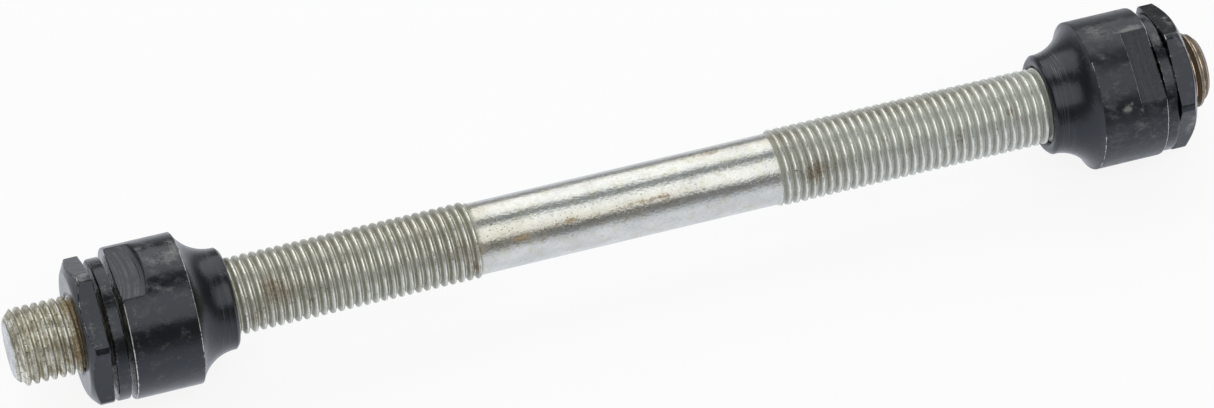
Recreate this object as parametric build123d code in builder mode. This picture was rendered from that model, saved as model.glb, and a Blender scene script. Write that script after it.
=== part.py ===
from build123d import *
import math
import os

# Bicycle hub axle: a threaded solid axle with a bearing cone, a washer and a lock nut at each end.
# Millimetres. X runs along the axle, Z is up, and the origin is the middle of the axle.
# A turn is the angle from the front of the axle, -Y, up towards +Z.

# Axle
axle_length = 141.0
thread_diameter = 8.84
thread_length = 52.5
shank_diameter = 8.2
shank_taper_length = 0.5
end_chamfer = 1.05

# Fit of the threaded pieces on the axle
thread_clearance = 0.03
bore_chamfer = 0.35

# Bearing cone
cone_body_diameter = 17.3
cone_body_length = 7.7
cone_edge_break = 0.2
race_radius = 4.9
nose_diameter = 11.6
nose_land = 0.1
nose_chamfer = 0.4
wrench_flat_width = 15.0
wrench_flat_length = 3.3
left_cutter_radius = 12.8
right_cutter_radius = 46.5

# Washer
washer_diameter = 16.1
washer_bore_diameter = 9.8
washer_thickness = 1.4
washer_edge_chamfer = 0.2
washer_contact_gap = 0.02

# Lock nut
nut_across_flats = 15.0
nut_across_corners = 16.9
nut_thickness = 2.45
nut_face_diameter = 14.0
nut_chamfer_angle = 30.0

# How the loose stack stands at each end
left_stick_out = 7.5
left_nut_gap = 0.5
left_cone_gap = 0.55
left_nut_turn = 30.3
left_flat_turn = 93.6
right_stick_out = 3.0
right_nut_gap = 0.05
right_cone_gap = 0.2
right_nut_turn = 18.3
right_flat_turn = 61.6

axle_radius = thread_diameter / 2
shank_radius = shank_diameter / 2
bore_radius = axle_radius + thread_clearance
cone_radius = cone_body_diameter / 2
nose_radius = nose_diameter / 2
washer_drop = washer_bore_diameter / 2 - axle_radius - washer_contact_gap


def along(x, inward):
    """A plane through the axle's line at x: its own x runs inward along the axle, its y is the radius."""
    return Plane(origin=(x, 0, 0), x_dir=(inward, 0, 0), z_dir=(0, -inward, 0))


def across(x, inward, turn=0.0, drop=0.0):
    """A plane square to the axle at x that faces inward, with its own x at the given turn."""
    angle = math.radians(turn)
    toward = (0, -math.cos(angle), math.sin(angle))
    return Plane(origin=(x, 0, -drop), x_dir=toward, z_dir=(inward, 0, 0))


def facing(x, inward, turn, distance):
    """A plane parallel to the axle that faces outward at the given turn, its own x inward from x."""
    angle = math.radians(turn)
    toward = (0, -math.cos(angle), math.sin(angle))
    return Plane(origin=(x, 0, 0), x_dir=(inward, 0, 0), z_dir=toward).offset(distance)


def make_axle():
    """The axle, turned as one rod, with its threads as cylinders over the crests."""
    end = axle_length / 2
    thread_start = end - thread_length
    with BuildPart() as axle:
        with BuildSketch(Plane.XZ):
            with BuildLine():
                Polyline(
                    (0, 0),
                    (end, 0),
                    (end, axle_radius - end_chamfer),
                    (end - end_chamfer, axle_radius),
                    (thread_start, axle_radius),
                    (thread_start - shank_taper_length, shank_radius),
                    (0, shank_radius),
                    close=True,
                )
            make_face()
        revolve(axis=Axis.X)
        mirror(about=Plane.YZ)
    return axle


def make_cone(outer_face, inward, flat_turn, cutter_radius):
    """A bearing cone: round body, wrench flats milled at its outer end, and a ball race down to its nose."""
    race_angle = math.acos(1 - (cone_radius - nose_radius) / race_radius)
    race_end = cone_body_length + race_radius * math.sin(race_angle)
    race_corner = race_end - race_radius * math.tan(race_angle / 2)
    land_end = race_end + nose_land
    length = land_end + nose_chamfer
    with BuildPart() as cone:
        with BuildSketch(along(outer_face, inward)):
            with BuildLine():
                Polyline(
                    (race_end, nose_radius),
                    (land_end, nose_radius),
                    (length, nose_radius - nose_chamfer),
                    (length, bore_radius + bore_chamfer),
                    (length - bore_chamfer, bore_radius),
                    (0, bore_radius),
                    (0, cone_radius - cone_edge_break),
                    (cone_edge_break, cone_radius),
                    (cone_body_length, cone_radius),
                )
                # The middle weight makes this curve a true arc of the race radius, tangent to the nose
                Bezier(
                    (cone_body_length, cone_radius),
                    (race_corner, nose_radius),
                    (race_end, nose_radius),
                    weights=[1, math.cos(race_angle / 2), 1],
                )
            make_face()
        revolve(axis=Axis.X)
        # The cutter's round edge leaves each flat with a curved shoulder
        for turn in (flat_turn, flat_turn + 180):
            with BuildSketch(facing(outer_face, inward, turn, wrench_flat_width / 2)):
                with Locations((wrench_flat_length - cutter_radius, 0)):
                    Circle(radius=cutter_radius)
            extrude(amount=cone_radius, mode=Mode.SUBTRACT)
    return cone


def make_washer(outer_face, inward):
    """A stamped washer, blunt round its outer face, whose loose bore hangs on the top of the thread."""
    with BuildPart() as washer:
        with BuildSketch(across(outer_face, inward, drop=washer_drop)):
            Circle(radius=washer_diameter / 2)
            Circle(radius=washer_bore_diameter / 2, mode=Mode.SUBTRACT)
        extrude(amount=washer_thickness)
        rims = washer.edges().filter_by(GeomType.CIRCLE).group_by(SortBy.RADIUS)[-1]
        outer_rim = rims.sort_by(Axis((0, 0, 0), (inward, 0, 0)))[0]
        chamfer(outer_rim, length=washer_edge_chamfer)
    return washer


def make_lock_nut(outer_face, inward, corner_turn):
    """A thin hexagon nut with turned corners and a chamfer round its outer face."""
    corner_radius = nut_across_corners / 2
    face_radius = nut_face_diameter / 2
    chamfer_length = (corner_radius - face_radius) * math.tan(math.radians(nut_chamfer_angle))
    with BuildPart() as nut:
        with BuildSketch(across(outer_face, inward, corner_turn)):
            RegularPolygon(radius=nut_across_flats / 2, side_count=6, major_radius=False)
        extrude(amount=nut_thickness)
        with BuildSketch(along(outer_face, inward)):
            with BuildLine():
                Polyline(
                    (0, bore_radius + bore_chamfer),
                    (0, face_radius),
                    (chamfer_length, corner_radius),
                    (nut_thickness, corner_radius),
                    (nut_thickness, bore_radius),
                    (bore_chamfer, bore_radius),
                    close=True,
                )
            make_face()
        revolve(axis=Axis.X, mode=Mode.INTERSECT)
    return nut


def save(name, piece):
    """Label a finished piece and write it as one STEP file."""
    piece.part.label = name
    export_step(piece.part, f"parts/{name}.step")


def make_stack(side, inward, stick_out, nut_gap, cone_gap, nut_turn, flat_turn, cutter_radius):
    """The nut, washer and cone of one end, set inward from the axle's tip."""
    nut_face = stick_out - axle_length / 2
    washer_face = nut_face + nut_thickness + nut_gap
    cone_face = washer_face + washer_thickness + cone_gap
    save(f"{side}_lock_nut", make_lock_nut(inward * nut_face, inward, nut_turn))
    save(f"{side}_washer", make_washer(inward * washer_face, inward))
    save(f"{side}_cone", make_cone(inward * cone_face, inward, flat_turn, cutter_radius))


os.makedirs("parts", exist_ok=True)
save("axle", make_axle())
make_stack(
    "left",
    1,
    left_stick_out,
    left_nut_gap,
    left_cone_gap,
    left_nut_turn,
    left_flat_turn,
    left_cutter_radius,
)
make_stack(
    "right",
    -1,
    right_stick_out,
    right_nut_gap,
    right_cone_gap,
    right_nut_turn,
    right_flat_turn,
    right_cutter_radius,
)
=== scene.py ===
"""Looks of a used bicycle hub axle, with a bearing cone, a washer and a lock nut at each end.

Metres. X runs along the axle and Z is up. A turn is the angle round the axle from its front, -Y, up
towards +Z. Each end's stack is described from its outer face inward, as "depth" along the axle.
"""

import math
from collections import namedtuple
from types import SimpleNamespace

import bmesh
import bpy
import numpy as np
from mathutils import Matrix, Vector, noise


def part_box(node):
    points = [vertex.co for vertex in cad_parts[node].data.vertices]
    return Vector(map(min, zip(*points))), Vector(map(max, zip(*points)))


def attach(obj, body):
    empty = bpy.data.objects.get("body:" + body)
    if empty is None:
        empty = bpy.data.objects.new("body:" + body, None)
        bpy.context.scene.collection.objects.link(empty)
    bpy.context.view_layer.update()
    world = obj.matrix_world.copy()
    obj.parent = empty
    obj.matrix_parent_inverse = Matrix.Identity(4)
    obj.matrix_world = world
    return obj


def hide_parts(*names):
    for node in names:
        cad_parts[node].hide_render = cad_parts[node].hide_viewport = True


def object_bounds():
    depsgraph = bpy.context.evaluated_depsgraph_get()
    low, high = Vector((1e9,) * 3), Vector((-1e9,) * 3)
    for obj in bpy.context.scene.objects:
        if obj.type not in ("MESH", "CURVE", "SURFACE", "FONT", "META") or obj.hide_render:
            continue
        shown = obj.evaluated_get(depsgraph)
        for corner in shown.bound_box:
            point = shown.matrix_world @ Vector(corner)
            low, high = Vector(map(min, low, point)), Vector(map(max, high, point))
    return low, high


MM = 0.001

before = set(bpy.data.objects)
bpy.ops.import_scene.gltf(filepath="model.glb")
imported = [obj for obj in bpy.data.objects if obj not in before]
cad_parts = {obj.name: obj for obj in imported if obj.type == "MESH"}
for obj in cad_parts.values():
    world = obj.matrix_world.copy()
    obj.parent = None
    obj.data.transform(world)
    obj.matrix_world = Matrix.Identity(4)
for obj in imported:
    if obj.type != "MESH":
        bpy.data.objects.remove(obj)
cad_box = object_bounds()

# Axle
AXLE_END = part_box("axle")[1].x
SHANK_RADIUS = 4.1 * MM
# Where the thread fades out on each side of the smooth middle, from its last trace to full
LEFT_RUNOUT = (-16.75 * MM, -17.3 * MM)
RIGHT_RUNOUT = (17.9 * MM, 18.9 * MM)
# Each tip's 45 degree chamfer would reach this radius, but its last stretch is drawn in further
TIP_RADIUS = 3.37 * MM
TIP_ROUNDING = 0.12 * MM
TIP_ROUNDING_SLOPE = 0.8
AXLE_COLUMNS = 80

# Its thread. A share runs along one pitch, and is 0 at the seam that rolling left in the crest.
PITCH = 1.0 * MM
CREST_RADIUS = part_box("axle")[1].z
THREAD_SHARES = (0.0, 0.06, 0.15, 0.23, 0.47, 0.58, 0.86, 0.93)
THREAD_DEPTHS = tuple(depth * MM for depth in (0.035, 0.0, 0.008, 0.07, 0.56, 0.56, 0.06, 0.012))
# Where the seam comes to the front: at the left tip, the runouts and the right tip
SEAM_STATIONS = (-AXLE_END, LEFT_RUNOUT[0], RIGHT_RUNOUT[0], AXLE_END)
SEAM_AT_FRONT = tuple(shift * MM for shift in (0.635, 0.575, 0.27, 0.26))
# Pitches of the helix past the tips, until it is cut there
SPARE_PITCHES = 4
CUT_TOLERANCE = 0.0001 * MM
# Dents in the crests, which lie less deep than this. They start where a noise passes a level.
CREST_DEPTH = 0.1 * MM
DENT_SIZE = 0.9 * MM
DENT_DEPTH = 0.2 * MM
DENT_LEVEL = 0.35
DENT_SEED = 1

# Bearing cones
CONE_RADIUS = (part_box("left_cone")[1].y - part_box("left_cone")[0].y) / 2
BODY_LENGTH = 7.7 * MM
RACE_RADIUS = 4.9 * MM
RACE_STEPS = 25
NOSE_RADIUS = 5.8 * MM
NOSE_LAND = 0.1 * MM
NOSE_CHAMFER = 0.4 * MM
BORE_RADIUS = 4.45 * MM
BORE_CHAMFER = 0.35 * MM
FLAT_HALF_WIDTH = 7.5 * MM
FLAT_LENGTH = 3.3 * MM
# The race is an arc, tangent to the nose, that ends at the body's radius
RACE_ANGLE = math.acos(1 - (CONE_RADIUS - NOSE_RADIUS) / RACE_RADIUS)
RACE_END = BODY_LENGTH + RACE_RADIUS * math.sin(RACE_ANGLE)
CONE_LENGTH = RACE_END + NOSE_LAND + NOSE_CHAMFER

# Washers
WASHER_RADIUS = 8.05 * MM
WASHER_BORE_RADIUS = 4.9 * MM
WASHER_THICKNESS = 1.4 * MM

# Lock nuts
NUT_APOTHEM = 7.5 * MM
NUT_CORNER_RADIUS = 8.45 * MM
NUT_FACE_RADIUS = 7.0 * MM
NUT_CHAMFER_ANGLE = math.radians(30)
NUT_THICKNESS = 2.45 * MM

# Rounded edges
FINE_BEVEL = 0.05 * MM
CONE_RIM_BEVEL = 0.20 * MM
SHOULDER_BEVEL = 0.10 * MM
RACE_EDGE_BEVEL = 0.13 * MM
NOSE_BEVEL = 0.18 * MM
WASHER_BORE_BEVEL = 0.08 * MM
WASHER_OUTER_BEVEL = 0.28 * MM
WASHER_INNER_BEVEL = 0.10 * MM
NUT_FACE_BEVEL = 0.30 * MM
NUT_RIM_BEVEL = 0.10 * MM
NUT_INNER_BEVEL = 0.12 * MM
BEVEL_STEPS = 3
# The largest share of a run between corners that a bevel takes up
LONGEST_BEVEL = 0.4

# Nicks in worn edges: their depths, their size, and what is added to their noise
CONE_NICK = 0.07 * MM
WASHER_NICK = 0.03 * MM
NUT_NICK = 0.07 * MM
NICK_SIZE = 0.7 * MM
NICK_SPREAD = 0.1
NICK_SEED = 2

# Columns of points round each turned piece
COLUMNS = 480
# Faces that meet at more than this keep a sharp edge
SHARP_ANGLE = math.radians(50)
# How far each further seed moves a noise
SEED_SHIFT = (17.3, 5.1, 9.7)

# A corner of a section, with its bevel's wear and the pieces of the run to the next corner
Station = namedtuple("Station", "depth radius bevel wear pieces", defaults=(0.0, 0.0, 1))
# One end of the axle, where inward is the sign of X towards its middle
Side = namedtuple("Side", "name inward flat_turn cutter_radius nut_turn")
SIDES = (
    Side("left", 1, math.radians(93.6), 12.8 * MM, math.radians(30.3)),
    Side("right", -1, math.radians(61.6), 46.5 * MM, math.radians(18.3)),
)


def smooth(low, high, value):
    """0 below low, 1 above high and a smooth step between them. Low may be the larger."""
    share = np.clip((value - low) / (high - low), 0, 1)
    return share * share * (3 - 2 * share)


def noise_at(points, size, seed):
    """Smooth noise from -1 to 1 at each point, with lumps of about the given size."""
    shift = Vector([part * seed for part in SEED_SHIFT])
    return np.array([noise.noise(Vector(p) / size + shift) for p in points])


def spots(points, places):
    """The sum of soft spots on the surface. A place is (x, turn, half length, half arc, strength)."""
    turns = np.arctan2(points[:, 2], -points[:, 1])
    radii = np.hypot(points[:, 1], points[:, 2])
    total = np.zeros(len(points))
    for x, turn, half_length, half_arc, strength in places:
        arc = radii * ((turns - math.radians(turn) + math.pi) % (2 * math.pi) - math.pi)
        distance = ((points[:, 0] / MM - x) / half_length) ** 2 + (arc / MM / half_arc) ** 2
        total += strength * np.exp(-distance)
    return np.clip(total, 0, 1)


def set_mask(mesh, name, values):
    """Store one value a vertex on the mesh, for its material to read."""
    mask = mesh.attributes.new(name, "FLOAT", "POINT")
    mask.data.foreach_set("value", np.asarray(values, np.float32))


def coordinates(mesh):
    """The place of each vertex of the mesh, one row each."""
    flat = np.zeros(3 * len(mesh.vertices), np.float32)
    mesh.vertices.foreach_get("co", flat)
    return flat.reshape(-1, 3).astype(float)


def finish_piece(name, mesh, body, node, material):
    """Make the piece an object that stands for its CAD node and moves with its body."""
    mesh.shade_smooth()
    mesh.set_sharp_from_angle(angle=SHARP_ANGLE)
    piece = bpy.data.objects.new(name, mesh)
    bpy.context.scene.collection.objects.link(piece)
    mesh.materials.append(material)
    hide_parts(node)
    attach(piece, body)


def face_outward(mesh):
    """Turn every face of a closed mesh to the outside."""
    work = bmesh.new()
    work.from_mesh(mesh)
    bmesh.ops.recalc_face_normals(work, faces=work.faces)
    work.to_mesh(mesh)
    work.free()


def column_turns(columns=COLUMNS):
    """The turn of each column of points round a piece."""
    return np.arange(columns) * 2 * math.pi / columns


def each_column(value):
    """One value for every column, from a single number or from a value for each."""
    return np.broadcast_to(value, COLUMNS)


def threaded(x):
    """How far the thread is formed at x: 0 on the smooth middle and 1 where it is full."""
    return smooth(*LEFT_RUNOUT, x) + smooth(*RIGHT_RUNOUT, x)


def axle_radius(x, depth):
    """Radius of the axle at x, where depth is how far the thread lies under its crest."""
    thread = CREST_RADIUS - depth
    radius = SHANK_RADIUS + (thread - SHANK_RADIUS) * threaded(x)
    from_tip = AXLE_END - np.abs(x)
    tip = TIP_RADIUS + from_tip
    tip = np.where(from_tip < TIP_ROUNDING, tip - (TIP_ROUNDING - from_tip) * TIP_ROUNDING_SLOPE, tip)
    return np.minimum(radius, tip)


def axle_points():
    """Points that follow the helix of the thread: a list of rows along the axle for each column."""
    pitches = round(2 * AXLE_END / PITCH) + SPARE_PITCHES
    turns = column_turns(AXLE_COLUMNS)
    shares = np.tile(THREAD_SHARES, pitches)
    steps = np.repeat(np.arange(pitches), len(THREAD_SHARES)) + shares - pitches / 2 + 0.5
    along = PITCH * (steps[None, :] - turns[:, None] / (2 * math.pi))
    x = along + np.interp(along, SEAM_STATIONS, SEAM_AT_FRONT)
    depth = np.broadcast_to(np.tile(THREAD_DEPTHS, pitches), x.shape)
    radius = axle_radius(x, depth)
    y = -radius * np.cos(turns)[:, None]
    z = radius * np.sin(turns)[:, None]
    points = np.stack([x, y, z], -1).reshape(-1, 3)
    on_crest = (depth < CREST_DEPTH).reshape(-1)
    dents = np.clip(noise_at(points, DENT_SIZE, DENT_SEED) - DENT_LEVEL, 0, 1) * DENT_DEPTH
    dents *= on_crest * threaded(points[:, 0])
    points[:, 1:] *= (1 - dents / radius.reshape(-1))[:, None]
    return points.reshape(*x.shape, 3)


def axle_faces(rows):
    """The faces between the columns. The last column joins the first one pitch along, as the helix does."""
    index = np.arange(AXLE_COLUMNS * rows).reshape(AXLE_COLUMNS, rows)
    body = np.stack([index[:-1, :-1], index[:-1, 1:], index[1:, 1:], index[1:, :-1]], -1)
    last, first = index[-1, len(THREAD_SHARES) :], index[0, : -len(THREAD_SHARES)]
    seam = np.stack([last[:-1], last[1:], first[1:], first[:-1]], -1)
    return np.concatenate([body.reshape(-1, 4), seam])


def cut_at_tips(mesh):
    """Cut the skin of the axle square at both tips and close it there."""
    work = bmesh.new()
    work.from_mesh(mesh)
    for end in (-1, 1):
        bmesh.ops.bisect_plane(
            work,
            geom=work.verts[:] + work.edges[:] + work.faces[:],
            dist=CUT_TOLERANCE,
            plane_co=(end * AXLE_END, 0, 0),
            plane_no=(end, 0, 0),
            clear_outer=True,
        )
    rims = [e for e in work.edges if e.is_boundary]
    bmesh.ops.holes_fill(work, edges=rims, sides=0)
    work.to_mesh(mesh)
    work.free()
    face_outward(mesh)


def make_axle(material):
    """The axle as one skin that follows the helix of its thread from end to end."""
    points = axle_points()
    mesh = bpy.data.meshes.new("hub_axle")
    mesh.from_pydata(points.reshape(-1, 3).tolist(), [], axle_faces(points.shape[1]).tolist())
    cut_at_tips(mesh)
    mask_axle(mesh)
    finish_piece("hub_axle", mesh, "axle", "axle", material)


# Where the thread takes on the colour of a bare stub, under each nut
LEFT_STUB = (-59.5 * MM, -62.5 * MM)
RIGHT_STUB = (64.8 * MM, 67.3 * MM)
# Where the right stub turns copper brown
RIGHT_TIP = (67.9 * MM, 68.3 * MM)
# Where the look of the left thread gives way to that of the right one, which is paler
PALE_START = (15 * MM, 20 * MM)
# How far from an end face its finish starts and is full
END_FACE_FADE = (0.02 * MM, 0.005 * MM)

# Each place is (x in mm, turn in degrees, half length in mm, half arc in mm, strength)
RUST_SPOTS = (
    # Smooth middle
    (-16.8, 33, 0.8, 0.9, 0.8),
    (-12.3, 33, 2.0, 0.6, 0.95),
    (-9.9, 20, 1.0, 0.5, 0.5),
    (-9.7, 49, 1.0, 0.3, 0.4),
    (-6.7, 41, 2.4, 0.45, 0.75),
    (0.3, 44, 1.6, 0.3, 0.5),
    (4.0, 46, 2.4, 0.35, 0.85),
    (2.1, 33, 2.0, 0.5, 0.5),
    (2.6, 10, 1.2, 0.4, 0.4),
    (0.1, 23, 1.2, 0.4, 0.4),
    (11.2, 102, 1.4, 0.4, 0.9),
    # Left thread
    (-17.9, -2, 0.5, 1.2, 0.9),
    (-18.4, 20, 0.5, 1.6, 0.5),
    (-40.3, 36, 1.9, 1.9, 0.75),
    (-41.5, 55, 1.0, 1.6, 0.5),
    (-43.3, 8, 1.0, 1.4, 0.65),
    (-45.0, 40, 0.8, 1.4, 0.4),
    (-37.0, 11, 0.4, 0.5, 0.8),
    (-32.8, 61, 0.5, 0.5, 0.8),
    (-23.1, 75, 0.8, 0.8, 0.6),
    (-19.6, 38, 0.5, 1.4, 0.6),
    # Right thread
    (22.7, 32, 1.0, 1.2, 0.8),
    (21.7, 21, 1.2, 1.0, 0.7),
    (19.5, 103, 1.4, 0.8, 0.6),
    (39.7, 26, 0.7, 1.6, 0.7),
    (46.1, 49, 0.4, 0.5, 0.9),
    (33.8, 29, 0.7, 0.9, 0.6),
    (31.1, 52, 0.5, 0.8, 0.5),
    # Left stub, most of it beside the nut
    (-63.6, 95, 0.5, 1.6, 1.0),
    (-63.6, 20, 0.55, 2.4, 1.0),
    (-62.9, 60, 0.5, 5.0, 1.0),
    (-64.8, 8, 0.5, 1.2, 0.6),
    (-65.8, -20, 0.6, 1.2, 0.8),
    (-65.9, 40, 0.4, 1.0, 0.5),
    (-68.3, 60, 1.0, 2.2, 0.35),
    # Right stub
    (67.4, 92, 0.6, 2.4, 0.9),
    (67.4, -5, 0.5, 1.6, 0.5),
    (69.0, 10, 0.5, 3.0, 0.5),
)
# Real tarnish spots, and bands of painted shade along the tops
TARNISH_AND_TOP_SHADE_SPOTS = (
    # Smooth middle
    (-15.0, 45, 3.0, 2.0, 0.5),
    (-8.0, 42, 8.0, 1.0, 0.55),
    (3.0, 42, 7.0, 0.9, 0.5),
    (-16.5, 100, 1.5, 2.0, 0.5),
    (11.0, 103, 3.0, 0.8, 0.4),
    # Threads
    (-21.0, 60, 3.0, 6.0, 0.4),
    (-39.0, 30, 4.0, 3.0, 0.4),
    (23.5, 30, 3.0, 3.0, 0.6),
    (20.0, 80, 2.0, 4.0, 0.5),
    # Painted shade along the top of each thread and of the left stub
    (-32.0, 108, 13.0, 1.2, 0.5),
    (34.0, 108, 12.0, 1.2, 1.0),
    (-66.5, 108, 4.0, 1.3, 1.0),
)


def mask_axle(mesh):
    """Masks for the axle's finish: its threads, stubs, tips, stains, painted shade along the tops and paler
    right end.
    """
    points = coordinates(mesh)
    x = points[:, 0]
    set_mask(mesh, "thread", threaded(x))
    set_mask(mesh, "stub", smooth(*LEFT_STUB, x) + smooth(*RIGHT_STUB, x))
    set_mask(mesh, "copper", smooth(*RIGHT_TIP, x))
    set_mask(mesh, "pale", smooth(*PALE_START, x))
    set_mask(mesh, "rust", spots(points, RUST_SPOTS))
    set_mask(mesh, "tarnish", spots(points, TARNISH_AND_TOP_SHADE_SPOTS))
    outer, inner = END_FACE_FADE
    set_mask(mesh, "end", smooth(AXLE_END - outer, AXLE_END - inner, np.abs(x)))


def rounded_section(stations):
    """Points round a closed section, for each column, as depth, radius and edge wear.

    Every corner is rounded by its bevel, which alone is worn, and the runs between them are divided.
    """
    corners = np.array([[each_column(s.depth), each_column(s.radius)] for s in stations])
    bevels = []
    for here, station in enumerate(stations):
        corner = corners[here]
        before, after = corners[here - 1] - corner, corners[(here + 1) % len(stations)] - corner
        before_length, after_length = np.hypot(*before), np.hypot(*after)
        reach = np.minimum(station.bevel, LONGEST_BEVEL * np.minimum(before_length, after_length))
        start = corner + before * reach / before_length
        end = corner + after * reach / after_length
        steps = np.linspace(0, 1, BEVEL_STEPS + 1) if station.bevel else [0.5]
        bevels.append([(1 - u) ** 2 * start + 2 * u * (1 - u) * corner + u**2 * end for u in steps])
    places, wear = [], []
    unworn = np.zeros(COLUMNS)
    for here, (station, bevel) in enumerate(zip(stations, bevels)):
        places += bevel
        inside = [each_column(station.wear)] * (len(bevel) - 2)
        wear += [unworn, *inside, unworn] if len(bevel) > 1 else [unworn]
        target = bevels[(here + 1) % len(bevels)][0]
        for piece in range(1, station.pieces):
            places.append(bevel[-1] + (target - bevel[-1]) * piece / station.pieces)
            wear.append(unworn)
    section = np.array(places)
    return section[:, 0].T, section[:, 1].T, np.array(wear).T


def outer_face_of(node, side):
    """X of the face of a node that looks away from the middle of the axle."""
    low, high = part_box(node)
    return low.x if side.inward > 0 else high.x


def turn_section(name, side, outer_face, stations, nick, drop=0.0):
    """A closed mesh from a section that may change from column to column, with nicks in its worn edges."""
    depth, radius, wear = rounded_section(stations)
    turns = column_turns()[:, None]
    x = outer_face + side.inward * depth
    points = np.stack([x, -radius * np.cos(turns), radius * np.sin(turns)], -1).reshape(-1, 3)
    edge = wear.reshape(-1)
    cut = np.clip(noise_at(points, NICK_SIZE, NICK_SEED + side.inward) + NICK_SPREAD, 0, 1) * nick * edge
    reach = np.hypot(points[:, 1], points[:, 2])
    points[:, 1:] *= (1 - cut / reach)[:, None]
    points[:, 2] -= drop
    index = np.arange(radius.size).reshape(radius.shape)
    next_column, next_row = np.roll(index, -1, 0), np.roll(index, -1, 1)
    opposite = np.roll(next_column, -1, 1)
    faces = np.stack([index, next_row, opposite, next_column], -1).reshape(-1, 4)
    mesh = bpy.data.meshes.new(name)
    mesh.from_pydata(points.tolist(), [], faces.tolist())
    face_outward(mesh)
    set_mask(mesh, "edge", edge)
    return mesh


# Arcs of bright worn steel round the cones' rims and race edges: (first turn, last turn, wear), in degrees
RIM_WEAR = {
    "left": ((-60, 62, 0.8), (28, 58, 1.0), (-150, -60, 0.5), (120, 210, 0.4)),
    "right": ((-45, 32, 1.0), (76, 100, 1.1), (34, 60, 0.4), (150, 250, 0.6)),
}
RACE_EDGE_WEAR = {
    "left": ((10, 108, 0.85), (-60, 10, 0.4), (150, 220, 0.6)),
    "right": ((-32, 14, 0.7), (38, 80, 0.45), (80, 150, 0.3), (200, 280, 0.6)),
}
ARC_FADE = 4
SHOULDER_WEAR = {"left": 0.25, "right": 0.9}
NOSE_WEAR = 0.2
# Half of the depth over which the shoulder of a flat rises to the round body
SHOULDER_HALF_DEPTH = 0.03 * MM
# A flat lies more than this under the round body
HAIR = 0.001 * MM
# Keeps the distance to a flat finite for the columns that run beside it
SMALLEST_COSINE = 0.01


def worn_arcs(arcs):
    """Wear of an edge in each column, the most of its arcs."""
    degrees = np.degrees(column_turns())
    wear = np.zeros(COLUMNS)
    for first, last, strength in arcs:
        middle, half = (first + last) / 2, (last - first) / 2
        away = np.abs((degrees - middle + 180) % 360 - 180)
        wear = np.maximum(wear, strength * smooth(half + ARC_FADE, half - ARC_FADE, away))
    return wear


def milled_shoulder(side, across):
    """Depth of the shoulder that the cutter's round edge left, for turns measured from a flat's middle."""
    half_chord = math.sqrt(CONE_RADIUS**2 - FLAT_HALF_WIDTH**2)
    off_centre = np.clip(np.abs(FLAT_HALF_WIDTH * np.tan(across)), 0, half_chord)
    return FLAT_LENGTH - side.cutter_radius + np.sqrt(side.cutter_radius**2 - off_centre**2)


def race_stations():
    """The hollow ball race, from the edge of the body to the nose."""
    stations = []
    for angle in np.linspace(RACE_ANGLE, 0, RACE_STEPS + 1)[1:-1]:
        depth = RACE_END - RACE_RADIUS * math.sin(angle)
        stations.append(Station(depth, NOSE_RADIUS + RACE_RADIUS * (1 - math.cos(angle))))
    return stations


def make_cone(side, material):
    """A bearing cone: round body with two milled flats, hollow ball race and short nose."""
    node = f"{side.name}_cone"
    outer_face = outer_face_of(node, side)
    across = column_turns() - side.flat_turn
    on_flat = FLAT_HALF_WIDTH / np.maximum(np.abs(np.cos(across)), SMALLEST_COSINE)
    milled = np.minimum(CONE_RADIUS, on_flat)
    has_flat = milled < CONE_RADIUS - HAIR
    shoulder = milled_shoulder(side, across)
    rim_wear, race_edge_wear = worn_arcs(RIM_WEAR[side.name]), worn_arcs(RACE_EDGE_WEAR[side.name])
    shoulder_wear = SHOULDER_WEAR[side.name] * has_flat
    mouth_radius = BORE_RADIUS + BORE_CHAMFER
    stations = [
        Station(0, mouth_radius, FINE_BEVEL, pieces=8),
        Station(0, milled, CONE_RIM_BEVEL, rim_wear, pieces=10),
        Station(shoulder - SHOULDER_HALF_DEPTH, milled, FINE_BEVEL),
        Station(shoulder + SHOULDER_HALF_DEPTH, CONE_RADIUS, SHOULDER_BEVEL, shoulder_wear, pieces=12),
        Station(BODY_LENGTH, CONE_RADIUS, RACE_EDGE_BEVEL, race_edge_wear),
        *race_stations(),
        Station(RACE_END, NOSE_RADIUS),
        Station(RACE_END + NOSE_LAND, NOSE_RADIUS, NOSE_BEVEL, NOSE_WEAR),
        Station(CONE_LENGTH, NOSE_RADIUS - NOSE_CHAMFER, NOSE_BEVEL, NOSE_WEAR, pieces=3),
        Station(CONE_LENGTH, mouth_radius, FINE_BEVEL),
        Station(CONE_LENGTH - BORE_CHAMFER, BORE_RADIUS, FINE_BEVEL, pieces=12),
        Station(BORE_CHAMFER, BORE_RADIUS, FINE_BEVEL),
    ]
    mesh = turn_section(f"cone_{side.name}", side, outer_face, stations, CONE_NICK)
    mask_cone(mesh, side, outer_face)
    finish_piece(f"cone_{side.name}", mesh, node, node, material)


# Soft spots on the cones, written like the axle's
CONE_SCUFFS = {
    "left": (
        (-52.5, 90, 1.8, 1.4, 0.7),
        (-50.9, 100, 0.7, 2.0, 0.7),
        (-55.0, 106, 1.6, 1.2, 0.6),
        (-53.8, 62, 2.0, 0.6, 0.3),
        (-51.0, 60, 0.6, 2.6, 0.3),
        (-57.3, 44, 0.4, 2.2, 0.35),
        (-57.5, 30, 0.3, 1.0, 0.35),
    ),
    "right": (
        (61.0, 92.5, 1.6, 0.6, 1.0),
        (58.2, 98, 1.6, 1.0, 0.5),
        (57.2, 104, 1.0, 1.0, 0.4),
        (58.5, 29.8, 0.5, 0.35, 1.6),
        (59.0, 33, 0.2, 0.3, 1.2),
        (60.2, 27, 0.3, 0.8, 0.7),
        (59.7, 12, 1.2, 1.2, 0.4),
        (57.6, 48, 1.0, 0.6, 0.7),
        (62.4, 94, 0.8, 0.6, 0.9),
        (61.6, 4, 0.8, 1.0, 0.6),
        (57.5, -22, 4.5, 0.8, 0.6),
    ),
}
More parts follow.
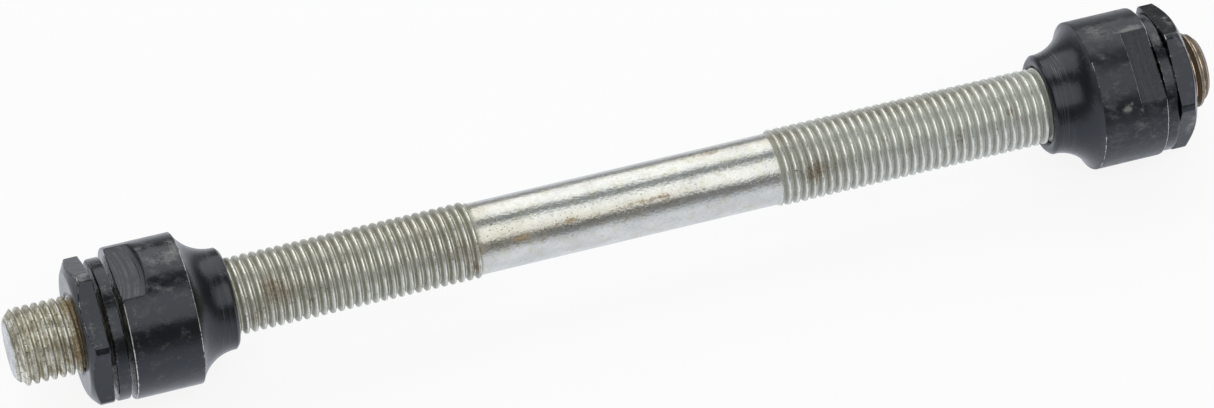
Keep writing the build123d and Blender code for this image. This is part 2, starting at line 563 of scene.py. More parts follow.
CONE_DARK_PATCHES = {
    "left": ((-51.9, 74, 1.3, 1.2, 1.0), (-50.8, 66, 0.6, 1.0, 0.6), (-57.2, 12, 0.5, 0.5, 0.7)),
    "right": ((57.6, 66, 1.6, 1.4, 0.35), (60.4, 20, 1.8, 1.4, 0.3)),
}
DUSTY_PLACES = {
    "left": ((-53.5, 92, 5.0, 4.5, 0.38), (-55.0, 62, 4.0, 1.6, 0.15)),
    "right": ((58.5, 95, 5.0, 2.2, 0.22), (57.5, 45, 1.5, 2.5, 0.15), (59.0, -10, 5.0, 4.0, 0.15)),
}
# Dust and fine wear over the body of a cone, over its milled flats, and over its race
CONE_DUST = {"left": (0.16, 0.25, 0.0), "right": (0.30, 0.30, 0.04)}
# Roughness added on the body and on the race
BODY_SATIN = {"left": 0.0, "right": 0.13}
RACE_SATIN = 0.04
# How clearly the flats show their tool marks
MILLED_STRENGTH = {"left": 1.0, "right": 0.3}
# The body's finish turns into the race's over this length
RACE_FADE = 0.3 * MM
# A point on a flat lies at least this far inside its ends, and this far under the round body
FLAT_MARGIN = 0.01 * MM
ROUND_MARGIN = 0.02 * MM
# The lines turned in the race, which start this far from the body and end this far from the nose's face
TURNED_START = 2.2 * MM
TURNED_END = 0.9 * MM
TURNED_START_FADE = 0.6 * MM
TURNED_END_FADE = 0.5 * MM
# They are faint, but grow plain and fade again at these turns of the right cone, in degrees
TURNED_FAINT = 0.2
TURNED_PLAIN = ((70, 84), (112, 100))


def mask_cone(mesh, side, outer_face):
    """Masks for a cone's finish: dust, satin, scuffs, dark patches, milled flats and turned lines."""
    points = coordinates(mesh)
    depth = (points[:, 0] - outer_face) * side.inward
    turns = np.arctan2(points[:, 2], -points[:, 1])
    radii = np.hypot(points[:, 1], points[:, 2])
    from_shoulder = milled_shoulder(side, turns - side.flat_turn) - depth
    on_flat = (from_shoulder > FLAT_MARGIN) & (depth > FLAT_MARGIN) & (radii < CONE_RADIUS - ROUND_MARGIN)
    race = smooth(BODY_LENGTH, BODY_LENGTH + RACE_FADE, depth)
    body_dust, flat_dust, race_dust = CONE_DUST[side.name]
    dust = body_dust + spots(points, DUSTY_PLACES[side.name])
    dust = np.where(on_flat, flat_dust, dust) * (1 - race) + race_dust * race
    set_mask(mesh, "dust", dust)
    set_mask(mesh, "satin", BODY_SATIN[side.name] * (1 - race) + RACE_SATIN * race)
    set_mask(mesh, "scuff", spots(points, CONE_SCUFFS[side.name]) * (1 - race) * ~on_flat)
    set_mask(mesh, "dark", spots(points, CONE_DARK_PATCHES[side.name]) * (1 - race) * ~on_flat)
    set_mask(mesh, "milled", on_flat * MILLED_STRENGTH[side.name])
    set_mask(mesh, "from_shoulder", np.where(on_flat, from_shoulder / MM, FLAT_LENGTH / MM))
    start, end = BODY_LENGTH + TURNED_START, CONE_LENGTH - TURNED_END
    lines = smooth(start, start + TURNED_START_FADE, depth) * smooth(end + TURNED_END_FADE, end, depth)
    plain = 0
    if side.name == "right":
        rise, fall = TURNED_PLAIN
        plain = smooth(*rise, np.degrees(turns)) * smooth(*fall, np.degrees(turns))
    set_mask(mesh, "turned", lines * (TURNED_FAINT + (1 - TURNED_FAINT) * plain))


# Finish of the washers and nuts
WASHER_DUST = 0.35
NUT_DUST = 0.2
NUT_AND_WASHER_SCUFFS = (
    (-61.6, 92, 0.7, 0.8, 0.9),
    (-61.2, 97, 0.6, 0.5, 0.8),
    (-62.0, 50, 0.3, 2.4, 0.6),
    (-59.4, 84, 0.6, 1.6, 0.5),
    (-59.2, 62, 0.5, 1.2, 0.4),
    (66.2, 74, 0.6, 0.8, 0.6),
    (66.9, 2, 0.5, 1.6, 0.9),
    (66.4, -12, 0.6, 1.6, 0.8),
    (66.6, 100, 0.5, 3.0, 0.6),
    (64.3, 84, 0.6, 1.2, 0.8),
    (66.8, 35, 0.5, 0.8, 0.4),
)
WASHER_OUTER_WEAR = 0.3
WASHER_INNER_WEAR = 0.45
# Arcs where the edge between a nut's chamfer and its flats is chipped
NUT_RIM_WEAR = {
    "left": ((33, 90, 0.5), (90, 100, 0.9), (100, 150, 0.35), (150, 393, 0.3)),
    "right": ((-20, 8, 0.5), (60, 100, 0.4), (100, 340, 0.3)),
}
# Wear of a nut's inner edge, all round and more at its six corners
NUT_INNER_WEAR = 0.35
NUT_CORNER_WEAR = 0.4
NUT_CORNER_HALF_TURN = math.radians(2.2)


def mask_small(mesh, dust):
    """Masks for the finish of a washer or a nut."""
    points = coordinates(mesh)
    set_mask(mesh, "scuff", spots(points, NUT_AND_WASHER_SCUFFS))
    set_mask(mesh, "dust", np.full(len(points), dust))


def make_washer(side, material):
    """A stamped washer, blunt round its outer face, which hangs on the top of the thread."""
    node = f"{side.name}_washer"
    low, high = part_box(node)
    drop = -(low.z + high.z) / 2
    stations = [
        Station(0, WASHER_BORE_RADIUS, WASHER_BORE_BEVEL, pieces=8),
        Station(0, WASHER_RADIUS, WASHER_OUTER_BEVEL, WASHER_OUTER_WEAR, pieces=5),
        Station(WASHER_THICKNESS, WASHER_RADIUS, WASHER_INNER_BEVEL, WASHER_INNER_WEAR, pieces=8),
        Station(WASHER_THICKNESS, WASHER_BORE_RADIUS, FINE_BEVEL, pieces=4),
    ]
    name = f"washer_{side.name}"
    mesh = turn_section(name, side, outer_face_of(node, side), stations, WASHER_NICK, drop)
    mask_small(mesh, WASHER_DUST)
    finish_piece(name, mesh, node, node, material)


def make_nut(side, material):
    """A thin hexagon nut with turned corners and a chamfer round its outer face."""
    node = f"{side.name}_lock_nut"
    sixth = math.pi / 3
    from_corner = (column_turns() - side.nut_turn) % sixth
    from_flat = from_corner - sixth / 2
    hexagon = np.minimum(NUT_APOTHEM / np.cos(from_flat), NUT_CORNER_RADIUS)
    chamfer_end = (hexagon - NUT_FACE_RADIUS) * math.tan(NUT_CHAMFER_ANGLE)
    at_corner = np.exp(-(((sixth / 2 - np.abs(from_flat)) / NUT_CORNER_HALF_TURN) ** 2))
    rim_wear = worn_arcs(NUT_RIM_WEAR[side.name])
    inner_wear = NUT_INNER_WEAR + NUT_CORNER_WEAR * at_corner
    stations = [
        Station(0, BORE_RADIUS + BORE_CHAMFER, FINE_BEVEL, pieces=8),
        Station(0, NUT_FACE_RADIUS, NUT_FACE_BEVEL, pieces=6),
        Station(chamfer_end, hexagon, NUT_RIM_BEVEL, rim_wear, pieces=8),
        Station(NUT_THICKNESS, hexagon, NUT_INNER_BEVEL, inner_wear, pieces=6),
        Station(NUT_THICKNESS, BORE_RADIUS, FINE_BEVEL, pieces=4),
        Station(BORE_CHAMFER, BORE_RADIUS, FINE_BEVEL),
    ]
    name = f"lock_nut_{side.name}"
    mesh = turn_section(name, side, outer_face_of(node, side), stations, NUT_NICK)
    mask_small(mesh, NUT_DUST)
    finish_piece(name, mesh, node, node, material)


# Two colours, and the levels of a noise between which the first gives way to the second
Blend = namedtuple("Blend", "first second low high")
# A colour laid over another, its strength, and the levels of a noise at which it starts and is full
Layer = namedtuple("Layer", "colour strength low high", defaults=(0.0, 1.0))
# How a mask is broken up: the share of the second of two noises, their swing, and the mask's new ends
Speckle = namedtuple("Speckle", "share spread low high")
# A noise: the size of its lumps, its detail, its stretch along each axis, and its shift
Noise = namedtuple("Noise", "size detail stretch shift", defaults=((1, 1, 1), 0.0))
NOISE_ROUGHNESS = 0.55
LINES_DETAIL = 2.0
# The middle of a mark that is at its full strength, as a share of the mark's half width
MARK_CORE = 0.3


class Nodes:
    """The node tree of a material or of the world, cleared."""

    def __init__(self, owner):
        owner.use_nodes = True
        self.tree = owner.node_tree
        self.tree.nodes.clear()

    def add(self, kind, settings=(), inputs=()):
        """A new node with its settings and its inputs, by name or number, given a value or a link."""
        node = self.tree.nodes.new(kind)
        for name, value in dict(settings).items():
            setattr(node, name, value)
        for name, value in dict(inputs).items():
            if isinstance(value, bpy.types.NodeSocket):
                self.tree.links.new(value, node.inputs[name])
            else:
                node.inputs[name].default_value = value
        return node


class Finish(Nodes):
    """The nodes of one material, with short calls for what the finishes use."""

    def __init__(self, name):
        self.material = bpy.data.materials.new(name)
        super().__init__(self.material)
        self.place = self.add("ShaderNodeTexCoord").outputs["Object"]

    def mask(self, name):
        return self.add("ShaderNodeAttribute", {"attribute_name": name}).outputs["Fac"]

    def math(self, operation, first, second=0.0):
        return self.add("ShaderNodeMath", {"operation": operation}, {0: first, 1: second}).outputs[0]

    def plus(self, first, second):
        return self.math("ADD", first, second)

    def minus(self, first, second):
        return self.math("SUBTRACT", first, second)

    def times(self, first, second):
        return self.math("MULTIPLY", first, second)

    def noise(self, grain):
        """Noise from 0 to 1 as a Noise says, longer along an axis by its stretch."""
        scale = tuple(1 / (grain.size * s) for s in grain.stretch)
        inputs = {"Vector": self.place, "Scale": scale, "Location": (grain.shift,) * 3}
        place = self.add("ShaderNodeMapping", inputs=inputs)
        inputs = {"Vector": place.outputs[0], "Scale": 1.0}
        inputs.update({"Detail": grain.detail, "Roughness": NOISE_ROUGHNESS})
        return self.add("ShaderNodeTexNoise", inputs=inputs).outputs[0]

    def lines(self, value, count):
        """Noise from 0 to 1 that changes along one value alone, with about count lumps a unit of it."""
        inputs = {"W": self.times(value, count), "Scale": 1.0, "Detail": LINES_DETAIL}
        return self.add("ShaderNodeTexNoise", {"noise_dimensions": "1D"}, inputs).outputs[0]

    def step(self, value, low, high):
        """0 where value is below low, 1 above high and smooth between them. Low may be the larger."""
        inputs = {"Value": value, "From Min": low, "From Max": high}
        return self.add("ShaderNodeMapRange", {"interpolation_type": "SMOOTHSTEP"}, inputs).outputs[0]

    def span(self, value, low, high):
        """A value from 0 to 1 spread from low to high."""
        inputs = {"Value": value, "To Min": low, "To Max": high}
        return self.add("ShaderNodeMapRange", inputs=inputs).outputs[0]

    def near(self, phase, centre, half):
        """1 where a phase that repeats from 0 to 1 is at its centre, falling to 0 at half either side."""
        away = self.math("PINGPONG", self.minus(phase, centre), 0.5)
        return self.step(away, half, MARK_CORE * half)

    def speckled(self, amount, grain, spread, low, high):
        """An amount broken up by a noise: 0 where their sum is below low and 1 above high."""
        swing = self.times(self.minus(grain, 0.5), spread)
        return self.step(self.plus(amount, swing), low, high)

    def speckled_mask(self, name, first, second, speckle):
        """A mask broken up by two noises."""
        grain = self.between(speckle.share, first, second)
        return self.speckled(self.mask(name), grain, speckle.spread, speckle.low, speckle.high)

    def between(self, share, first, second):
        """The first value where share is 0 and the second where it is 1."""
        return self.add("ShaderNodeMix", {"data_type": "FLOAT"}, {0: share, 2: first, 3: second}).outputs[0]

    def mix(self, share, first, second):
        """The first colour where share is 0 and the second where it is 1."""
        return self.add("ShaderNodeMix", {"data_type": "RGBA"}, {0: share, 6: first, 7: second}).outputs[2]

    def blend(self, grain, pair):
        """A blend's first colour, giving way to its second as the noise rises."""
        return self.mix(self.step(grain, pair.low, pair.high), pair.first, pair.second)

    def cover(self, under, share, layer):
        """A colour under a layer, which covers it by a share times its own strength."""
        return self.mix(self.times(share, layer.strength), under, layer.colour)

    def cover_by_noise(self, under, grain, layer):
        """A colour under a layer, which covers it where a noise rises past its levels."""
        return self.cover(under, self.step(grain, layer.low, layer.high), layer)

    def bump(self, height, distance, under=None):
        """A normal raised by a height times a distance, over another normal if there is one."""
        inputs = {"Height": height, "Distance": distance, "Strength": 1.0}
        if under is not None:
            inputs["Normal"] = under
        return self.add("ShaderNodeBump", inputs=inputs).outputs[0]

    def surface(self, inputs):
        """The material with its shader, each of whose inputs is given a value or a link."""
        shader = self.add("ShaderNodeBsdfPrincipled", inputs=inputs)
        self.add("ShaderNodeOutputMaterial", inputs={"Surface": shader.outputs[0]})
        return self.material


# Noises of the zinc
ZINC_NOISES = {
    "cloud": Noise(2.2 * MM, 4.0, (2.0, 1, 1)),
    "fine": Noise(0.30 * MM, 4.0, (1.3, 1, 1)),
    "speck": Noise(0.24 * MM, 2.0, shift=3.0),
    "grime": Noise(1.4 * MM, 5.0, shift=9.0),
    "along_thread": Noise(0.22 * MM, 3.0, (1, 5, 5), 6.0),
}

# Colours of its smooth middle
BRIGHT_ZINC = Blend((0.72, 0.72, 0.695, 1), (0.60, 0.61, 0.60, 1), 0.3, 0.7)
BRIGHT_STAIN = Layer((0.58, 0.57, 0.47, 1), 0.6, 0.45, 0.7)
BRIGHT_GRAIN = Layer((0.50, 0.50, 0.49, 1), 0.35, 0.5, 0.75)
BRIGHT_TARNISH = Layer((0.47, 0.44, 0.33, 1), 0.75)

# Colours of its threads, stubs and end faces. Grime covers them between the same levels of its noise.
GRIME_LEVELS = (0.36, 0.64)
OLIVE_THREAD = Blend((0.72, 0.73, 0.65, 1), (0.53, 0.535, 0.45, 1), *GRIME_LEVELS)
PALE_THREAD = Blend((0.84, 0.87, 0.82, 1), (0.70, 0.73, 0.67, 1), *GRIME_LEVELS)
YELLOW_STUB = Blend((0.95, 0.94, 0.82, 1), (0.42, 0.38, 0.26, 1), *GRIME_LEVELS)
END_FACE = Blend((0.68, 0.69, 0.70, 1), (0.44, 0.445, 0.44, 1), *GRIME_LEVELS)
COPPER_TIP = (0.17, 0.115, 0.075, 1)
THREAD_TARNISH_AND_TOP_SHADE = Layer((0.36, 0.32, 0.22, 1), 0.6)
GROOVE_SHADE = Layer((0.25, 0.24, 0.20, 1), 0.42)
CREASE_SHADE = (0.20, 0.185, 0.14, 1)
ROLLED_SHADE = Layer((0.22, 0.21, 0.17, 1), 0.45, 0.48, 0.57)
POLISHED_CREST = (0.80, 0.81, 0.77, 1)
POLISHED_COPPER = (0.88, 0.73, 0.56, 1)

# Dark specks and rust. The levels of the specks' noise are for everywhere, for the stubs and for tarnish and
# the painted shade on the tops.
SPECK = Layer((0.12, 0.10, 0.07, 1), 0.85)
SPECK_LEVELS = ((0.62, 0.70), (0.58, 0.66), (0.60, 0.68))
ORANGE_RUST = Blend((0.45, 0.315, 0.15, 1), (0.23, 0.15, 0.07, 1), 0.4, 0.6)
BROWN_RUST = Blend((0.32, 0.25, 0.155, 1), (0.16, 0.112, 0.07, 1), 0.4, 0.6)
RUST_LEVELS = (0.3, 1.0)

# Pairs are for the smooth middle and for the threads
SPECK_STRENGTHS = (0.3, 0.6)
RUST_SWINGS = (2.4, 3.6)
RUST_STRENGTHS = (0.75, 0.8)
GRAIN_STRENGTHS = (1.0, 0.4)

# Roughness from the fine noise, and what dullness and rust add. Metallic where bright and where dull.
ZINC_ROUGHNESS = (0.14, 0.34)
DULL_ROUGHNESS = 0.18
RUST_ROUGHNESS = 0.25
ZINC_METALLIC = (1.0, 0.55)
RUST_METALLIC_LOSS = 0.35
END_FACE_DULLNESS = 0.2

# Marks that run along the thread: their places on the left thread, the right thread and the stubs, as
# shares of the pitch from the seam, and half the width of each
GROOVE_PLACES = (0.76, 0.58, 0.28)
GROOVE_HALF = 0.24
SEAM_HALF = 0.05
CREASE_PLACES = (0.30, 0.08)
CREASE_HALF = 0.07
CREST_LINE_PLACES = (0.075, 0.0)
CREST_LINE_HALF = 0.09
SECOND_LINE_PLACES = (0.50, 0.28, 0.46)
SECOND_LINE_HALF = 0.10
SECOND_LINE_STRENGTHS = (0.25, 0.5, 1.0)
# The crest line's strength beside that on the stubs, and the noise levels that break up both lines
CREST_LINE_STRENGTHS = (1.0, 0.5)
POLISH_LEVELS = (0.28, 0.52)
# Fine lines that rolling left along the thread, in each pitch
ROLLED_LINES = 6.0

# Heights of the zinc's waves, of its grain and of the rolled lines
ZINC_WAVES = 0.05 * MM
ZINC_GRAIN = 0.03 * MM
ROLLED_HEIGHT = 0.03 * MM


def thread_phase(make):
    """How far round its pitch the thread is at each place: a whole number at the seam of every crest."""
    axes = make.add("ShaderNodeSeparateXYZ", inputs={0: make.place})
    x, y, z = axes.outputs
    inputs = {"Value": x, "From Min": LEFT_RUNOUT[0], "From Max": RIGHT_RUNOUT[0]}
    inputs.update({"To Min": SEAM_AT_FRONT[1], "To Max": SEAM_AT_FRONT[2]})
    seam = make.add("ShaderNodeMapRange", inputs=inputs).outputs[0]
    turn = make.math("ARCTAN2", z, make.times(y, -1.0))
    pitches = make.math("DIVIDE", make.minus(x, seam), PITCH)
    return make.plus(pitches, make.math("DIVIDE", turn, 2 * math.pi))


def zinc_inputs(make):
    """The noises, the thread's phase and the masks that the parts of the zinc finish share."""
    phase = thread_phase(make)
    masks = ("thread", "pale", "stub", "copper", "tarnish", "rust", "end")
    return SimpleNamespace(
        phase=phase,
        rolled=make.lines(make.math("FRACT", phase), ROLLED_LINES),
        **{name: make.noise(grain) for name, grain in ZINC_NOISES.items()},
        **{name: make.mask(name) for name in masks},
    )


def by_stretch(make, zinc, values):
    """A value for the left thread, one for the right thread and one for the stubs."""
    left, right, on_stubs = values
    return make.between(zinc.stub, make.span(zinc.pale, left, right), on_stubs)


def middle_colour(make, zinc):
    """The smooth middle: bright, a little stained and tarnished."""
    colour = make.blend(zinc.cloud, BRIGHT_ZINC)
    colour = make.cover_by_noise(colour, zinc.grime, BRIGHT_STAIN)
    colour = make.cover_by_noise(colour, zinc.fine, BRIGHT_GRAIN)
    return make.cover(colour, zinc.tarnish, BRIGHT_TARNISH)


def dull_thread_colour(make, zinc):
    """The threads without their polished lines, with painted shade and dirt darkening their grooves, seams
    and creases.
    """
    colour = make.mix(zinc.pale, make.blend(zinc.grime, OLIVE_THREAD), make.blend(zinc.grime, PALE_THREAD))
    yellow = make.mix(zinc.copper, make.blend(zinc.grime, YELLOW_STUB), COPPER_TIP)
    # Tarnish, and painted shade along the top of each thread and stub
    colour = make.cover(make.mix(zinc.stub, colour, yellow), zinc.tarnish, THREAD_TARNISH_AND_TOP_SHADE)
    # Painted shade, with dirt, darkens each groove
    groove = make.near(zinc.phase, by_stretch(make, zinc, GROOVE_PLACES), GROOVE_HALF)
    colour = make.cover(colour, groove, GROOVE_SHADE)
    # Painted shade in the seam of each crest and in the crease beside it
    seam = make.near(zinc.phase, 0.0, SEAM_HALF)
    crease = make.near(zinc.phase, make.span(zinc.pale, *CREASE_PLACES), CREASE_HALF)
    broken_up = make.times(make.plus(seam, crease), zinc.along_thread)
    colour = make.mix(broken_up, colour, CREASE_SHADE)
    return make.cover_by_noise(colour, zinc.rolled, ROLLED_SHADE)


def polished_lines(make, zinc):
    """Where the crests of the thread are polished: along the crest, and along a second line beside it."""
    crest_line = make.near(zinc.phase, make.span(zinc.pale, *CREST_LINE_PLACES), CREST_LINE_HALF)
    crest_line = make.times(crest_line, make.span(zinc.stub, *CREST_LINE_STRENGTHS))
    second_line = make.near(zinc.phase, by_stretch(make, zinc, SECOND_LINE_PLACES), SECOND_LINE_HALF)
    second_line = make.times(second_line, by_stretch(make, zinc, SECOND_LINE_STRENGTHS))
    return make.times(make.plus(crest_line, second_line), make.step(zinc.along_thread, *POLISH_LEVELS))


def zinc_specks(make, zinc):
    """Dark specks: everywhere, more on the stubs, on tarnish and along the painted shade on the tops."""
    everywhere, on_stubs, on_tarnish_and_top_shade = (make.step(zinc.speck, *levels) for levels in SPECK_LEVELS)
    specks = make.times(everywhere, make.span(zinc.thread, *SPECK_STRENGTHS))
    specks = make.plus(specks, make.times(on_stubs, zinc.stub))
    return make.plus(specks, make.times(on_tarnish_and_top_shade, zinc.tarnish))


def zinc_rust(make, zinc):
    """Where the rust lies, broken up along the thread's rolled lines, and its colour."""
    on_middle = make.between(0.5, zinc.fine, zinc.grime)
    on_thread = make.between(0.35, zinc.rolled, zinc.fine)
    grain = make.between(zinc.thread, on_middle, on_thread)
    rust = make.speckled(zinc.rust, grain, make.span(zinc.thread, *RUST_SWINGS), *RUST_LEVELS)
    orange, brown = make.blend(zinc.fine, ORANGE_RUST), make.blend(zinc.fine, BROWN_RUST)
    return rust, make.mix(make.minus(zinc.thread, zinc.stub), orange, brown)


def zinc_finish():
    """Worn zinc plating: bright on the smooth middle and dull on the threads, whose crests are polished."""
    make = Finish("worn_zinc")
    zinc = zinc_inputs(make)
    polish = polished_lines(make, zinc)
    polished = make.mix(zinc.copper, POLISHED_CREST, POLISHED_COPPER)
    threads = make.mix(polish, dull_thread_colour(make, zinc), polished)
    colour = make.mix(zinc.thread, middle_colour(make, zinc), threads)
    colour = make.mix(zinc.end, colour, make.blend(zinc.grime, END_FACE))
    colour = make.cover(colour, zinc_specks(make, zinc), SPECK)
    rust, rust_colour = zinc_rust(make, zinc)
    rust_cover = make.times(rust, make.span(zinc.thread, *RUST_STRENGTHS))
    colour = make.mix(rust_cover, colour, rust_colour)

    dullness = make.times(zinc.thread, make.span(polish, 1.0, 0.0))
    dullness = make.times(dullness, make.span(zinc.end, 1.0, END_FACE_DULLNESS))
    roughness = make.plus(make.span(zinc.fine, *ZINC_ROUGHNESS), make.times(dullness, DULL_ROUGHNESS))
    roughness = make.plus(roughness, make.times(rust, RUST_ROUGHNESS))
    metallic = make.span(dullness, *ZINC_METALLIC)
    metallic = make.minus(metallic, make.times(rust_cover, RUST_METALLIC_LOSS))
    normal = make.bump(zinc.cloud, ZINC_WAVES)
    fine_height = make.times(zinc.fine, make.span(zinc.thread, *GRAIN_STRENGTHS))
    normal = make.bump(fine_height, ZINC_GRAIN, normal)
    normal = make.bump(make.times(zinc.rolled, zinc.thread), ROLLED_HEIGHT, normal)
    inputs = {"Base Color": colour, "Metallic": metallic, "Roughness": roughness, "Normal": normal}
    return make.surface(inputs)


# Noises of the black steel
BLOTCH_NOISE = Noise(2.2 * MM, 5.0, shift=1.0)
CLOUD_NOISE = Noise(0.9 * MM, 6.0, (1.4, 1, 1), 7.0)
GRAIN_NOISE = Noise(0.30 * MM, 4.0, shift=5.0)
STREAK_NOISE = Noise(0.16 * MM, 3.0, (1, 6, 6), 2.0)
TURNED_NOISE = Noise(0.10 * MM, 1.0, (1, 60, 60), 4.0)

# Its colours, and how its dust, scuffs and worn edges are broken up
BLACK_OXIDE = Blend((0.0006, 0.0006, 0.0007, 1), (0.002, 0.002, 0.0022, 1), 0.35, 0.7)
FINE_DUST = (0.085, 0.085, 0.085, 1)
SCUFFED = Layer((0.22, 0.215, 0.205, 1), 0.75)
WORN_EDGE = (0.60, 0.60, 0.58, 1)
TOOL_MARKS = Blend((0.05, 0.05, 0.05, 1), (0.003, 0.003, 0.003, 1), 0.42, 0.56)
MILLED_DIRT = Layer((0.012, 0.012, 0.012, 1), 1.0, 0.4, 0.65)
# Painted shadow that each flat's shoulder casts on the flat
SHOULDER_PAINTED_SHADOW = (0.002, 0.002, 0.002, 1)
DARK_PATCH = Layer((0.004, 0.004, 0.004, 1), 0.75)
TURNED_RIDGE = Layer((0.20, 0.20, 0.21, 1), 0.8)
TURNED_LEVELS = (0.5, 0.66)
DUST_SPECKLE = Speckle(0.25, 2.6, 0.2, 1.15)
SCUFF_SPECKLE = Speckle(0.5, 2.6, 0.3, 1.2)
EDGE_SPECKLE = Speckle(0.5, 2.6, 0.45, 0.85)

# Its gloss: roughness from the cloudy noise, and what dust and scuffs add
BLACK_ROUGHNESS = (0.14, 0.26)
DUST_ROUGHNESS = 0.25
SCUFF_ROUGHNESS = 0.12
BLACK_IOR = 1.60
BLACK_GLOSS_TINT = (0.82, 0.88, 1.0, 1)

# Heights of its waves, grain, streaks, tool marks and turned ridges
BLACK_WAVES = 0.025 * MM
BLACK_GRAIN = 0.012 * MM
BLACK_STREAKS = 0.009 * MM
TOOL_MARK_HEIGHT = 0.10 * MM
TURNED_RIDGE_HEIGHT = 0.03 * MM
# Tool marks a millimetre, and where the painted shadow of the shoulder on its flat starts and is full, in
# millimetres
TOOL_MARK_COUNT = 3.0
SHOULDER_SHADOW_FADE = (0.45, 0.10)


def add_cone_marks(make, cloud, colour, roughness, normal):
    """Colour, roughness and normal of a cone, with its tool marks, painted shadow under its shoulders, dark
    patches and turned lines.
    """
    milled, from_shoulder = make.mask("milled"), make.mask("from_shoulder")
    cuts = make.lines(from_shoulder, TOOL_MARK_COUNT)
    milled_colour = make.cover_by_noise(make.blend(cuts, TOOL_MARKS), cloud, MILLED_DIRT)
    colour = make.mix(milled, colour, milled_colour)
    # Painted shadow of the shoulder on the flat, darkest next to the step
    colour = make.mix(make.step(from_shoulder, *SHOULDER_SHADOW_FADE), colour, SHOULDER_PAINTED_SHADOW)
    colour = make.cover(colour, make.mask("dark"), DARK_PATCH)
    normal = make.bump(make.times(cuts, milled), TOOL_MARK_HEIGHT, normal)
    ridges = make.times(make.step(make.noise(TURNED_NOISE), *TURNED_LEVELS), make.mask("turned"))
    colour = make.cover(colour, ridges, TURNED_RIDGE)
    normal = make.bump(ridges, TURNED_RIDGE_HEIGHT, normal)
    return colour, make.plus(roughness, make.mask("satin")), normal


def black_finish(name, is_cone=False):
    """Black oxide: nearly black and softly glossy, dusty and scuffed, with bright steel along worn edges."""
    make = Finish(name)
    noises = (BLOTCH_NOISE, CLOUD_NOISE, GRAIN_NOISE, STREAK_NOISE)
    blotch, cloud, grain, streak = (make.noise(each) for each in noises)
    dust = make.speckled_mask("dust", cloud, grain, DUST_SPECKLE)
    scuff = make.speckled_mask("scuff", cloud, grain, SCUFF_SPECKLE)
    worn = make.speckled_mask("edge", grain, cloud, EDGE_SPECKLE)
    colour = make.mix(dust, make.blend(blotch, BLACK_OXIDE), FINE_DUST)
    colour = make.cover(colour, scuff, SCUFFED)
    roughness = make.plus(make.span(cloud, *BLACK_ROUGHNESS), make.times(dust, DUST_ROUGHNESS))
    roughness = make.plus(roughness, make.times(scuff, SCUFF_ROUGHNESS))
    normal = make.bump(grain, BLACK_GRAIN, make.bump(streak, BLACK_STREAKS))
    normal = make.bump(cloud, BLACK_WAVES, normal)
    if is_cone:
        colour, roughness, normal = add_cone_marks(make, cloud, colour, roughness, normal)
    inputs = {"Base Color": make.mix(worn, colour, WORN_EDGE), "Metallic": worn, "Roughness": roughness}
    inputs.update({"IOR": BLACK_IOR, "Specular Tint": BLACK_GLOSS_TINT, "Normal": normal})
    return make.surface(inputs)


# Studio
FLOOR_COLOUR = (0.885, 0.90, 0.95, 1)
# The floor's darker blotches, and their share of its colour
FLOOR_NOISE = Noise(0.05, 2.0)
FLOOR_BLOTCH_SHARE = 0.99
FLOOR_GLOW_SEEN = (1.0, 1.0, 0.995, 1)
FLOOR_GLOW_REFLECTED = (0.91, 0.94, 1.0, 1)
# The glow's share of the floor's look, from the camera and in a reflection
GLOW_SEEN = 0.88
GLOW_REFLECTED = 0.88
# In a reflection the floor dims from the first distance to the second, down to a share
REFLECTED_DIMMING = (0.015, 0.17, 0.38)
FLOOR_RADIUS = 4.0
FLOOR_SEGMENTS = 96
LAMP_COLOUR = (1.0, 0.99, 0.965)
# The world's tones by the height of the direction
WORLD_TONES = (
    (0.01, (0.86, 0.87, 0.88, 1)),
    (0.035, (0.27, 0.27, 0.265, 1)),
    (0.45, (0.18, 0.182, 0.19, 1)),
    (0.90, (0.24, 0.262, 0.265, 1)),
)
LAMP_LENGTH = 1.5
LAMP_DISTANCE = 0.6
# Each lamp's name, turn of its middle, half of the turn that it covers, and radiance
LAMPS = (("front_softbox", 56, 24, 1.14), ("back_softbox", 134, 27, 1.22))


def floor_finish():
    """Pale paper that the camera and every reflection see nearly white, and that keeps its shadows."""
    make = Finish("pale_floor")
    blotch_colour = tuple(FLOOR_BLOTCH_SHARE * c for c in FLOOR_COLOUR[:3]) + (1,)
    colour = make.mix(make.noise(FLOOR_NOISE), FLOOR_COLOUR, blotch_colour)
    paper = make.add("ShaderNodeBsdfDiffuse", inputs={"Color": colour})
    path = make.add("ShaderNodeLightPath").outputs
    glow_colour = make.mix(path["Is Camera Ray"], FLOOR_GLOW_REFLECTED, FLOOR_GLOW_SEEN)
    glow = make.add("ShaderNodeEmission", inputs={"Color": glow_colour, "Strength": 1.0})
    reflected = make.math("MAXIMUM", path["Is Glossy Ray"], path["Is Transmission Ray"])
    seen = make.times(path["Is Camera Ray"], GLOW_SEEN)
    share = make.plus(seen, make.times(reflected, GLOW_REFLECTED))
    lit = make.add("ShaderNodeMixShader", inputs={0: share, 1: paper.outputs[0], 2: glow.outputs[0]})
    place = make.add("ShaderNodeSeparateXYZ", inputs={0: make.place})
    near, far, dimmest = REFLECTED_DIMMING
    away = make.step(make.math("ABSOLUTE", place.outputs["Y"]), near, far)
    dim = make.times(make.times(reflected, away), 1 - dimmest)
    black = make.add("ShaderNodeEmission", inputs={"Strength": 0.0})
    dimmed = make.add("ShaderNodeMixShader", inputs={0: dim, 1: lit.outputs[0], 2: black.outputs[0]})
    make.add("ShaderNodeOutputMaterial", inputs={"Surface": dimmed.outputs[0]})
    return make.material


def aim(thing, target, outward, distance):
    """Link a lamp or the camera, at a distance from its target and looking at it."""
    thing.location = target + distance * outward
    thing.rotation_mode = "QUATERNION"
    thing.rotation_quaternion = (-outward).to_track_quat("-Z", "Y")
    bpy.context.scene.collection.objects.link(thing)


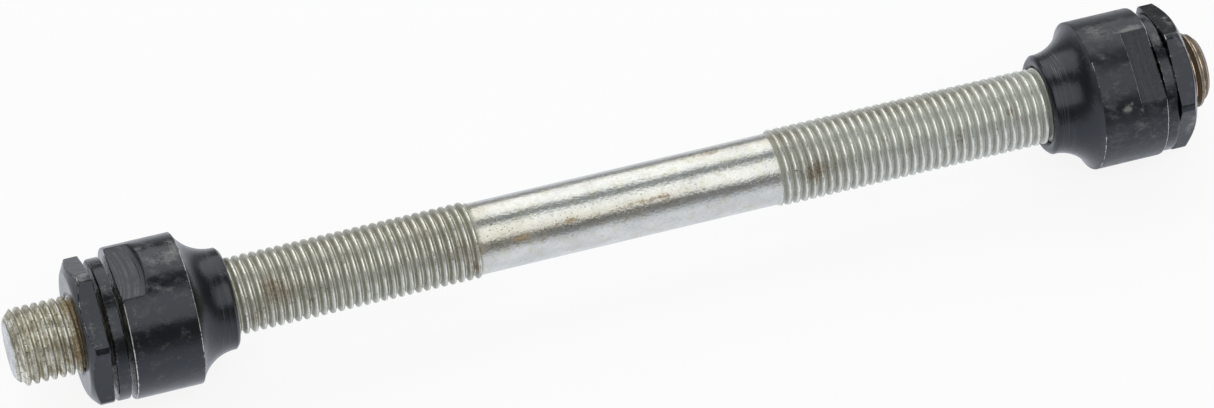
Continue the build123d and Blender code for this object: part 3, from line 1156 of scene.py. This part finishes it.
def make_floor():
    """A large pale disc under the object."""
    mesh = bpy.data.meshes.new("floor")
    work = bmesh.new()
    bmesh.ops.create_circle(work, cap_ends=True, segments=FLOOR_SEGMENTS, radius=FLOOR_RADIUS)
    work.to_mesh(mesh)
    work.free()
    floor = bpy.data.objects.new("floor", mesh)
    floor.location.z = cad_box[0].z
    bpy.context.scene.collection.objects.link(floor)
    mesh.materials.append(floor_finish())


def make_lamps():
    """Long soft boxes that run beside the axle, in front of it and behind it."""
    for name, turn, half_turn, radiance in LAMPS:
        angle = math.radians(turn)
        outward = Vector((0, -math.cos(angle), math.sin(angle)))
        light = bpy.data.lights.new(name, "AREA")
        light.shape = "RECTANGLE"
        light.size = LAMP_LENGTH
        light.size_y = 2 * LAMP_DISTANCE * math.tan(math.radians(half_turn))
        light.color = LAMP_COLOUR
        light.energy = radiance * math.pi * light.size * light.size_y
        lamp = bpy.data.objects.new(name, light)
        lamp.visible_camera = False
        aim(lamp, Vector(), outward, LAMP_DISTANCE)


def make_world():
    """Pale at the horizon and dim above it, so that bright metal keeps its dark bands."""
    world = bpy.data.worlds.new("studio")
    bpy.context.scene.world = world
    sky = Nodes(world)
    direction = sky.add("ShaderNodeTexCoord").outputs["Generated"]
    height = sky.add("ShaderNodeSeparateXYZ", inputs={0: direction}).outputs["Z"]
    tones = sky.add("ShaderNodeValToRGB", inputs={"Fac": height})
    ramp = tones.color_ramp.elements
    while len(ramp) < len(WORLD_TONES):
        ramp.new(0.5)
    for element, (place, tone) in zip(ramp, WORLD_TONES):
        element.position = place
        element.color = tone
    background = sky.add("ShaderNodeBackground", inputs={"Color": tones.outputs["Color"]})
    sky.add("ShaderNodeOutputWorld", inputs={"Surface": background.outputs[0]})


# Camera, as the photograph's perspective was fitted
VIEW_AZIMUTH = math.radians(-17.95)
VIEW_ELEVATION = math.radians(46.91)
VIEW_DISTANCE = 0.676
VIEW_AIM = Vector((-1.064, 0.301, 0.281)) * MM
SENSOR_WIDTH = 36.0
# The photograph's focal length and width, in its pixels
FOCAL_PIXELS = 6000
PHOTO_PIXELS = 1214
CLIP_START = 0.01


def make_camera():
    """The camera at the photograph's viewing angle."""
    level = math.cos(VIEW_ELEVATION)
    back = Vector(
        (math.sin(VIEW_AZIMUTH) * level, -math.cos(VIEW_AZIMUTH) * level, math.sin(VIEW_ELEVATION))
    )
    camera_data = bpy.data.cameras.new("camera")
    camera_data.sensor_width = SENSOR_WIDTH
    camera_data.lens = SENSOR_WIDTH * (FOCAL_PIXELS / PHOTO_PIXELS)
    camera_data.clip_start = CLIP_START
    camera = bpy.data.objects.new("camera", camera_data)
    aim(camera, VIEW_AIM, back, VIEW_DISTANCE)
    bpy.context.scene.camera = camera


make_camera()
make_world()
make_lamps()
make_floor()
make_axle(zinc_finish())
cone_black = black_finish("black_cone_steel", is_cone=True)
washer_black = black_finish("black_washer_steel")
nut_black = black_finish("black_nut_steel")
for side in SIDES:
    make_cone(side, cone_black)
    make_washer(side, washer_black)
    make_nut(side, nut_black)

bpy.context.scene.view_settings.view_transform = "Standard"
